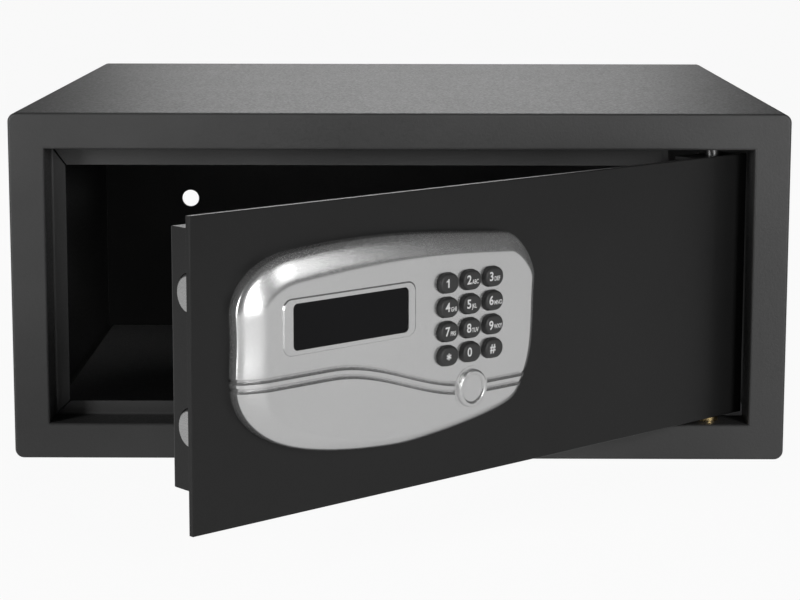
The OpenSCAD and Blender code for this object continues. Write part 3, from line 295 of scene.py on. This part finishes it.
carpet, tree, shader = new_material("Needle felt")
effect = add_group(tree, grain, grain_size=0.0012, depth=0.0004, cloud_size=0.03)
shader.inputs["Roughness"].default_value = 0.95
shader.inputs["Sheen Weight"].default_value = 0.12
shader.inputs["Specular IOR Level"].default_value = 0.1
colour = mix_colour(tree, effect.outputs["Speck"], (0.085, 0.085, 0.088), (0.29, 0.29, 0.298))
tree.links.new(colour, shader.inputs["Base Color"])
tree.links.new(effect.outputs["Normal"], shader.inputs["Normal"])
print("materials:", len(bpy.data.materials))

# %% [markdown]
# ## Finish of the CAD nodes
#
# The CAD nodes keep their shape. Modifiers merge their loose triangles, break the sharp edges by
# 0.1 to 0.3 mm and even out the shading. The door plate and the lock housing also get whole flat
# faces, because the edges of long thin triangles showed on them as lines.

# %% CAD nodes
MERGE_DISTANCE = 0.000005
FLAT_WITHIN = math.radians(0.2)
SHARP_ANGLE = 28


def dress(material, names, edge=0.15, whole=False):
    """Gives CAD nodes a material and broken edges; edge is in millimetres, 0 for none."""
    for name in names.split():
        obj = nodes[name]
        obj.data.materials.clear()
        obj.data.materials.append(material)
        pick(obj)
        bpy.ops.object.shade_smooth()
        weld = obj.modifiers.new("Merge", "WELD")
        weld.merge_threshold = MERGE_DISTANCE
        if whole:
            flat = obj.modifiers.new("Whole flat faces", "DECIMATE")
            flat.decimate_type = "DISSOLVE"
            flat.angle_limit = FLAT_WITHIN
        soften(obj, edge, SHARP_ANGLE)


dress(cabinet_paint, "body_shell back_panel", 0.3)
dress(cabinet_paint, "front_frame", 0.25)
dress(shaded_door_paint, "door_plate lock_housing", 0.3, whole=True)
dress(shaded_door_paint, "hinge_bracket_top hinge_bracket_bottom", 0.3)
dress(bush_plastic, "hinge_bush_top hinge_bush_bottom bolt_guide_upper bolt_guide_lower")
dress(shaded_pin_steel, "hinge_pin_top hinge_pin_bottom")
dress(zinc, "weld_studs housing_nuts mechanism_plate gearbox_screws motor "
            "guide_pins bezel_screws bolt_carriage bolt_screws gear_shaft lock_cam")
dress(ground_steel, "upper_bolt lower_bolt lock_cylinder", 0.1)
dress(brass, "thrust_washer lock_nut lock_plug")
dress(gear_plastic, "gearbox drive_pinion", 0.1)
dress(black_plastic, "battery_holder board_standoffs battery_cover reset_switch display_module")
dress(board, "control_board keypad_board", 0)
dress(battery_sleeve, "batteries")
dress(lens, "display_lens", 0.2)
dress(silicone, "key_mat cable_grommet")
dress(cable_jacket, "ribbon_cable")
dress(red_plastic, "reset_button")
dress(silver_paint, "lock_cover")
key_names = ["1", "2", "3", "4", "5", "6", "7", "8", "9", "star", "0", "hash"]
dress(key_plastic, " ".join("key_" + k for k in key_names), 0)
print("dressed", sum(1 for o in nodes.values() if o.modifiers), "CAD nodes")

# %% [markdown]
# ## The moulded bezel
#
# The outline is a closed Bezier curve. Rings drawn in from it climb the wall and the shoulder,
# which is wide at the free edge and narrow towards the hinge and the bottom. Two V-shaped bars
# that follow the surface cut the wave grooves, so their depth is the same on flat and shoulder.

# %% Sizes of the bezel, in door millimetres
# Each anchor is x, y, the curve's heading in degrees, and its handles' lengths before and after.
ANCHORS = [
    (21.3, 65, 95, 11, 11), (21.3, 98, 94, 19, 13), (53, 125.8, 5.5, 20, 53),
    (191, 122.2, -5, 51, 10), (210.6, 97, -95, 9, 18), (204.2, 49, -116, 16, 13),
    (185, 33.1, -165.5, 11, 18), (117, 25.2, 178, 13, 27), (38, 40.7, 147, 20, 11)]
STEPS = 16  # parts of the outline between two anchors
# The shoulder's width at each anchor, as a share of SHOULDER, which is (inset, height).
SHOULDER_WIDTHS = [1.05, 1.05, 1.05, 0.72, 0.5, 0.5, 0.45, 0.4, 0.7]
WALL, HEIGHT, SHELL = 4.8, 11.0, 2.0
SHOULDER = [(0.15, 5.4), (0.5, 6.05), (1.1, 6.7), (1.9, 7.3), (3.0, 7.9), (4.6, 8.55), (6.4, 9.2),
            (8.0, 9.75), (9.4, 10.2), (10.6, 10.55), (11.7, 10.82), (12.7, 10.96), (13.6, HEIGHT)]
WINDOW = (84.9, 92.1, 71, 22)  # centre, width, height
FIELD = (82.4, 27.4, 5.2, 0.8)  # foot's width and height, corner radius, rise
FIELD_TOP_SHIFT, FIELD_TOP_LESS = -0.6, (2.2, 1.6, 0.9)  # its sloped sides
LOCK = (162.5, 47.6)
SOCKET_W, LOCK_HOLE_W = 22, 17.4
GROOVES, GROOVE_W, GROOVE_D = (1.4, 5.7), 2.7, 1.05  # places under the wave, width, depth
WAVE_START, WAVE_LENGTH, WAVE_FOOT, WAVE_RISE = LOCK[0] + 5, 95, LOCK[1] + 3.6, 19.6
MIDDLE_X = 115
KEY_TOP, COVER_TOP = 14.0, 12.55
FIRST_KEY, KEY_PITCH = (145.6, 102), (15.1, 12)
KEY_HOLE = (13.1, 10.4, 5.19)
THROUGH = (-1, 20)  # from below the moulding to above it
SOFT_ANGLE = 27
key_places = [(FIRST_KEY[0] + (i % 3) * KEY_PITCH[0], FIRST_KEY[1] - (i // 3) * KEY_PITCH[1])
              for i in range(12)]


def ease(t):
    """Smooth step from 0 to 1."""
    return 0.5 - 0.5 * math.cos(math.pi * t)


def wave(x):
    """Height of the wave band's upper edge."""
    return WAVE_FOOT + WAVE_RISE * ease(min(1, max(0, (WAVE_START - x) / WAVE_LENGTH)))


def direction(degrees):
    """Unit vector with a heading."""
    return Vector((math.cos(math.radians(degrees)), math.sin(math.radians(degrees))))


# %% Bodies made from the outline
def outline_rings():
    """Points of the outline with their inward directions and shoulder widths."""
    points, widths = [], []
    for k, (x, y, heading, _, after) in enumerate(ANCHORS):
        x2, y2, heading2, before2, _ = ANCHORS[(k + 1) % len(ANCHORS)]
        start, end = Vector((x, y)), Vector((x2, y2))
        points += interpolate_bezier(start, start + after * direction(heading),
                                     end - before2 * direction(heading2), end, STEPS + 1)[:-1]
        w, w2 = SHOULDER_WIDTHS[k], SHOULDER_WIDTHS[(k + 1) % len(ANCHORS)]
        widths += [w + (w2 - w) * ease(i / STEPS) for i in range(STEPS)]
    n = len(points)
    inward = []
    for i in range(n):
        along = (points[(i + 1) % n] - points[i - 1]).normalized()
        inward.append(Vector((along.y, -along.x)))
    return points, inward, widths


def dome(name, inset, floor):
    """The bezel's outside, drawn in by an amount on every side."""
    points, inward, widths = outline_rings()
    n = len(points)
    levels = [(0, floor), (0, WALL - inset)] + [(x, z - inset) for x, z in SHOULDER]
    verts = [(*(p + (inset + x * w) * d), z)
             for x, z in levels for p, d, w in zip(points, inward, widths)]
    faces = [(k * n + i, k * n + (i + 1) % n, (k + 1) * n + (i + 1) % n, (k + 1) * n + i)
             for k in range(len(levels) - 1) for i in range(n)]
    faces += [tuple(range(n)), tuple(range((len(levels) - 1) * n, len(levels) * n))]
    return solid(name, verts, faces)


def wave_cutter(name, below):
    """A V-shaped bar that follows the surface below the wave, from the left foot to the right."""
    points, inward, widths = outline_rings()
    sides = []
    for side in (-1, 1):
        i = min((i for i in range(len(points)) if side * (points[i].x - MIDDLE_X) > 0),
                key=lambda i: abs(points[i].y + below - wave(points[i].x)))
        sides.append([(points[i].x + inward[i].x * widths[i] * d, z)
                      for d, z in [(0, -1), (0, WALL)] + SHOULDER])
    left, right = sides[0], sides[1][::-1]
    flat = [WAVE_START - WAVE_LENGTH * (1 - i / 40) for i in range(41)] + [175, 185]
    path = left + [(x, HEIGHT) for x in flat if left[-1][0] + 1 < x < right[0][0] - 1] + right
    up = 1.4  # the bar's height above the surface
    wide = GROOVE_W / 2 * (1 + up / GROOVE_D)
    verts = []
    for k, (x, z) in enumerate(path):
        (x1, z1), (x2, z2) = path[max(k - 1, 0)], path[min(k + 1, len(path) - 1)]
        out = Vector((z1 - z2, x2 - x1)).normalized()
        y = wave(x) - below
        verts += [(x - out.x * GROOVE_D, y, z - out.y * GROOVE_D),
                  (x + out.x * up, y + wide, z + out.y * up),
                  (x + out.x * up, y - wide, z + out.y * up)]
    faces = [(3 * k + i, 3 * k + (i + 1) % 3, 3 * k + 3 + (i + 1) % 3, 3 * k + 3 + i)
             for k in range(len(path) - 1) for i in range(3)]
    return solid(name, verts, faces + [(0, 1, 2), tuple(range(len(verts) - 3, len(verts)))])


def solid(name, verts, faces):
    """A closed mesh with its normals outwards, picked."""
    mesh = bpy.data.meshes.new(name)
    mesh.from_pydata(verts, [], faces)
    obj = bpy.data.objects.new(name, mesh)
    bpy.context.collection.objects.link(obj)
    pick(obj)
    bpy.ops.object.mode_set(mode="EDIT")
    bpy.ops.mesh.select_all(action="SELECT")
    bpy.ops.mesh.normals_make_consistent(inside=False)
    bpy.ops.object.mode_set(mode="OBJECT")
    return obj


def prism(name, points, low, high, top=None):
    """A prism over an outline of (x, y) points, straight or up to a second outline."""
    n = len(points)
    return solid(name, [(x, y, low) for x, y in points] + [(x, y, high) for x, y in top or points],
                 [tuple(range(n)), tuple(range(n, 2 * n))]
                 + [(i, (i + 1) % n, n + (i + 1) % n, n + i) for i in range(n)])


def rounded(x, y, w, h, r, steps=10):
    """Outline of a rectangle with round corners, counter-clockwise round its centre."""
    points = []
    for k, (sx, sy) in enumerate(((1, 1), (-1, 1), (-1, -1), (1, -1))):
        for i in range(steps + 1):
            a = math.radians(90 * k + 90 * i / steps)
            points.append((x + sx * (w / 2 - r) + r * math.cos(a),
                           y + sy * (h / 2 - r) + r * math.sin(a)))
    return points


def cut(obj, tool, operation="DIFFERENCE"):
    """Applies a boolean with tool, which is then removed."""
    pick(obj)
    modifier = obj.modifiers.new("Boolean", "BOOLEAN")
    modifier.operation = operation
    modifier.solver = "EXACT"
    modifier.object = tool
    bpy.ops.object.modifier_apply(modifier=modifier.name)
    bpy.data.objects.remove(tool, do_unlink=True)


# %% The bezel itself
bezel = dome("bezel_moulding", 0, 0)
for below in GROOVES:
    cut(bezel, wave_cutter("groove", below))
w, h, r, rise = FIELD
less_w, less_h, less_r = FIELD_TOP_LESS
field = prism("field", rounded(*WINDOW[:2], w, h, r), HEIGHT - 0.2, HEIGHT + rise,
              rounded(WINDOW[0] + FIELD_TOP_SHIFT, WINDOW[1], w - less_w, h - less_h, r - less_r))
cut(bezel, field, "UNION")
socket = rounded(*LOCK, SOCKET_W, SOCKET_W, SOCKET_W / 2 - 0.01, 16)
cut(bezel, prism("socket", socket, 4, HEIGHT + 0.2), "UNION")
cut(bezel, dome("hollow", SHELL, -1))
cut(bezel, prism("window", rounded(*WINDOW, 2.5), *THROUGH))
for x, y in key_places:
    cut(bezel, prism("key_hole", rounded(x, y, *KEY_HOLE, 12), *THROUGH))
hole = rounded(*LOCK, LOCK_HOLE_W, LOCK_HOLE_W, LOCK_HOLE_W / 2 - 0.01, 16)
cut(bezel, prism("lock_hole", hole, *THROUGH))
print("bezel:", len(bezel.data.polygons), "faces")

bezel.data.materials.clear()
bezel.data.materials.append(silver_paint)
to_door(bezel)
pick(bezel)
bpy.ops.object.shade_smooth_by_angle(angle=math.radians(SOFT_ANGLE))
soften(bezel, 0.3, SOFT_ANGLE)
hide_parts("keypad_bezel")
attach(bezel, "door")

# %% Rim of the keyhole cover
bpy.ops.mesh.primitive_torus_add(major_radius=8.1, minor_radius=1.15, major_segments=72,
                                 minor_segments=14)
rim = bpy.context.object
rim.name = "cover_rim"
flatten = Matrix.Diagonal((1, 1, 0.5, 1))
rim.data.transform(Matrix.Translation((*LOCK, COVER_TOP)) @ flatten)
rim.data.materials.append(silver_paint)
bpy.ops.object.shade_smooth()
to_door(rim)
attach(rim, "keyhole_cover")
print("rim:", len(rim.data.polygons), "faces")

# %% [markdown]
# ## Legends on the keys
#
# Each key has a digit, and most have small letters to its right. The legends are printed, so
# they are thin meshes that stand a few hundredths of a millimetre above the key and ride with it.

# %% Key legends
DIGIT_SIZE, DIGIT_THICKEN = 6.2, 0.13
SMALL_SIZE, SMALL_THICKEN, SMALL_NARROW = 3.1, 0.06, 0.74
SMALL_SHIFT = (1.9, -0.9)
DIGIT_X, DIGIT_Y = -2.5, 0.2
OTHER_DIGIT_X = {"4": -1.6, "7": -1.8, "0": -2.0, "#": -1.4}


def letters(name, text, size, thicken, x, y, align="CENTER", spin=0, narrow=1):
    """Flat text in door millimetres on top of the keys."""
    bpy.ops.object.text_add()
    obj = bpy.context.object
    obj.name = name
    obj.data.body = text
    obj.data.size = size
    obj.data.align_x = align
    obj.data.align_y = "CENTER"
    obj.data.offset = thicken
    obj.data.extrude = 0.02
    obj.data.resolution_u = 6
    obj.data.materials.append(white_ink)
    pick(obj)
    bpy.ops.object.convert(target="MESH")
    obj.data.transform(Matrix.Translation((x, y, KEY_TOP + 0.015)) @ Matrix.Rotation(spin, 4, "Z")
                       @ Matrix.Diagonal((narrow, 1, 1, 1)))
    to_door(obj)
    return obj


def own_figure(name, outlines, x, y):
    """A figure from its own outlines, for the two that the built-in font draws too plainly."""
    parts = [prism(name, [(x + a, y + b) for a, b in points],
                   KEY_TOP - 0.005, KEY_TOP + 0.035 + 0.002 * i)
             for i, points in enumerate(outlines)]
    pick(parts[-1], *parts[:-1])
    if len(parts) > 1:
        bpy.ops.object.join()
    obj = parts[-1]
    obj.data.materials.append(white_ink)
    to_door(obj)
    return obj


one = [(0.85, -2.15), (0.85, 2.15), (0.1, 2.15), (-0.3, 1.5), (-1.1, 1.15), (-1.1, 0.5),
       (-0.1, 0.85), (-0.1, -2.15)]
bar = [(-1.7, -0.33), (1.7, -0.33), (1.7, 0.33), (-1.7, 0.33)]
turns = [(math.cos(math.radians(a)), math.sin(math.radians(a))) for a in (90, 30, 150)]
star = [[(c * a - s * b, s * a + c * b) for a, b in bar] for c, s in turns]
figures = {"1": ([one], -1.5, 0.2), "star": (star, -0.8, -0.1)}
legends = [("1", ""), ("2", "ABC"), ("3", "DEF"), ("4", "GHI"), ("5", "JKL"), ("6", "MNO"),
           ("7", "PRS"), ("8", "TUV"), ("9", "WXY"), ("*", ""), ("0", ""), ("#", "")]
for key, (digit, small), (x, y) in zip(key_names, legends, key_places):
    shift = OTHER_DIGIT_X.get(digit, DIGIT_X)
    if key in figures:
        outlines, dx, dy = figures[key]
        legend = own_figure("legend_" + key, outlines, x + dx, y + dy)
    else:
        # The 9 is the 6 turned round.
        text, spin = ("6", math.pi) if digit == "9" else (digit, 0)
        legend = letters("legend_" + key, text, DIGIT_SIZE, DIGIT_THICKEN, x + shift, y + DIGIT_Y,
                         spin=spin)
    if small:
        side = letters("letters_" + key, small, SMALL_SIZE, SMALL_THICKEN,
                       x + shift + SMALL_SHIFT[0], y + SMALL_SHIFT[1], "LEFT", narrow=SMALL_NARROW)
        pick(legend, side)
        bpy.ops.object.join()
    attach(legend, "button_" + key)
print("legends:", len(legends))

# %% [markdown]
# ## Floor mat
#
# The mat is cut from needle felt. Its top is slightly uneven, so it replaces the CAD node's flat
# one.

# %% Floor mat
MAT_RELIEF = 0.0006
low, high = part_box("floor_mat")
bpy.ops.mesh.primitive_grid_add(x_subdivisions=210, y_subdivisions=175, size=1)
mat = bpy.context.object
mat.name = "felt_mat"
size = [h - l for l, h in zip(low, high)]
place = ((low[0] + high[0]) / 2, (low[1] + high[1]) / 2, high[2] - MAT_RELIEF / 2)
mat.data.transform(Matrix.Translation(place) @ Matrix.Diagonal((size[0], size[1], 1, 1)))
bpy.ops.object.mode_set(mode="EDIT")
bpy.ops.mesh.select_all(action="SELECT")
down = (0, 0, -(size[2] - MAT_RELIEF / 2))
bpy.ops.mesh.extrude_region_move(TRANSFORM_OT_translate={"value": down})
bpy.ops.mesh.select_all(action="SELECT")
bpy.ops.mesh.normals_make_consistent(inside=False)
bpy.ops.object.mode_set(mode="OBJECT")
fibres = bpy.data.textures.new("Fibres", "CLOUDS")
fibres.noise_scale = 0.0022
top = mat.vertex_groups.new(name="top")
top.add([v.index for v in mat.data.vertices if v.co.z > high[2] - 0.0005], 1, "ADD")
uneven = mat.modifiers.new("Uneven top", "DISPLACE")
uneven.texture = fibres
uneven.texture_coords = "LOCAL"
uneven.vertex_group = "top"
uneven.direction = "Z"
uneven.mid_level = 0.5
uneven.strength = MAT_RELIEF
pick(mat)
bpy.ops.object.modifier_apply(modifier=uneven.name)
bpy.ops.object.shade_smooth_by_angle(angle=math.radians(60))
mat.data.materials.append(carpet)
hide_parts("floor_mat")
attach(mat, "cabinet")
print("mat:", len(mat.data.polygons), "faces")

# %% [markdown]
# ## Studio
#
# A pale floor that the camera sees as white, soft area lights, and the camera of the photograph.


# %% Floor and lights
SEEN_WHITE, MIRRORED_WHITE = 0.94, 0.35  # share of pure white for camera rays and glossy rays
floor_paint, tree, shader = new_material("Studio floor")
shader.inputs["Base Color"].default_value = (0.9, 0.9, 0.9, 1)
shader.inputs["Roughness"].default_value = 0.9
shader.inputs["Emission Color"].default_value = (1, 1, 1, 1)
shader.inputs["Emission Strength"].default_value = 0.05
path = tree.nodes.new("ShaderNodeLightPath")
glow = tree.nodes.new("ShaderNodeEmission")
glow.inputs["Strength"].default_value = 1
blend = tree.nodes.new("ShaderNodeMixShader")
output = tree.nodes["Material Output"]
seen = math_node(tree, "MULTIPLY", path.outputs["Is Camera Ray"], SEEN_WHITE)
mirrored = math_node(tree, "MULTIPLY", path.outputs["Is Glossy Ray"], MIRRORED_WHITE)
tree.links.new(math_node(tree, "ADD", seen, mirrored), blend.inputs["Fac"])
tree.links.new(shader.outputs["BSDF"], blend.inputs[1])
tree.links.new(glow.outputs["Emission"], blend.inputs[2])
tree.links.new(blend.outputs["Shader"], output.inputs["Surface"])
bpy.ops.mesh.primitive_plane_add(size=14, location=(0, 3, -0.0005))
floor = bpy.context.object
floor.name = "studio_floor"
floor.data.materials.append(floor_paint)


def area_light(name, place, aim, width, height, power):
    """A soft light at a place that faces aim; sizes in metres, power in watts."""
    data = bpy.data.lights.new(name, "AREA")
    data.shape = "RECTANGLE"
    data.size = width
    data.size_y = height
    data.energy = power
    obj = bpy.data.objects.new(name, data)
    bpy.context.collection.objects.link(obj)
    obj.location = place
    obj.rotation_euler = (Vector(aim) - Vector(place)).to_track_quat("-Z", "Y").to_euler()


area_light("Rear", (0, 1.3, 0.7), (0, 0, 0.2), 0.7, 0.4, 2.9)
area_light("Front", (1.25, -2.1, 0.6), (0, -0.3, 0.1), 0.6, 1.1, 23)
area_light("Left", (-1.3, -1.35, 0.5), (-0.1, -0.4, 0.1), 0.4, 0.95, 13.5)
area_light("Right", (1.6, -0.9, 0.8), (0, -0.35, 0.1), 0.4, 0.4, 1.8)

world = bpy.data.worlds.new("Studio")
world.use_nodes = True
bpy.context.scene.world = world
tree = world.node_tree
back = tree.nodes["Background"]
back.inputs["Color"].default_value = (1, 1, 1, 1)
white = tree.nodes.new("ShaderNodeBackground")
white.inputs["Strength"].default_value = 1
back.inputs["Strength"].default_value = 0.05
path = tree.nodes.new("ShaderNodeLightPath")
blend = tree.nodes.new("ShaderNodeMixShader")
tree.links.new(path.outputs["Is Camera Ray"], blend.inputs["Fac"])
tree.links.new(back.outputs["Background"], blend.inputs[1])
tree.links.new(white.outputs["Background"], blend.inputs[2])
tree.links.new(blend.outputs["Shader"], tree.nodes["World Output"].inputs["Surface"])
bpy.context.scene.view_settings.view_transform = "Standard"

# %% [markdown]
# ## Camera
#
# The place and the focal length come from a perspective fit to the photograph's edges. The
# photograph was squared up, so the picture plane is shifted a little.

# %% Camera
camera_data = bpy.data.cameras.new("Camera")
camera_data.sensor_width = 36
camera_data.lens = 100.1
camera_data.shift_y = -0.08
camera = bpy.data.objects.new("Camera", camera_data)
bpy.context.collection.objects.link(camera)
camera.location = (0.0064, -1.4037, 0.3081)
camera.rotation_euler = (math.radians(81.48), math.radians(-0.08), math.radians(0.29))
bpy.context.scene.camera = camera
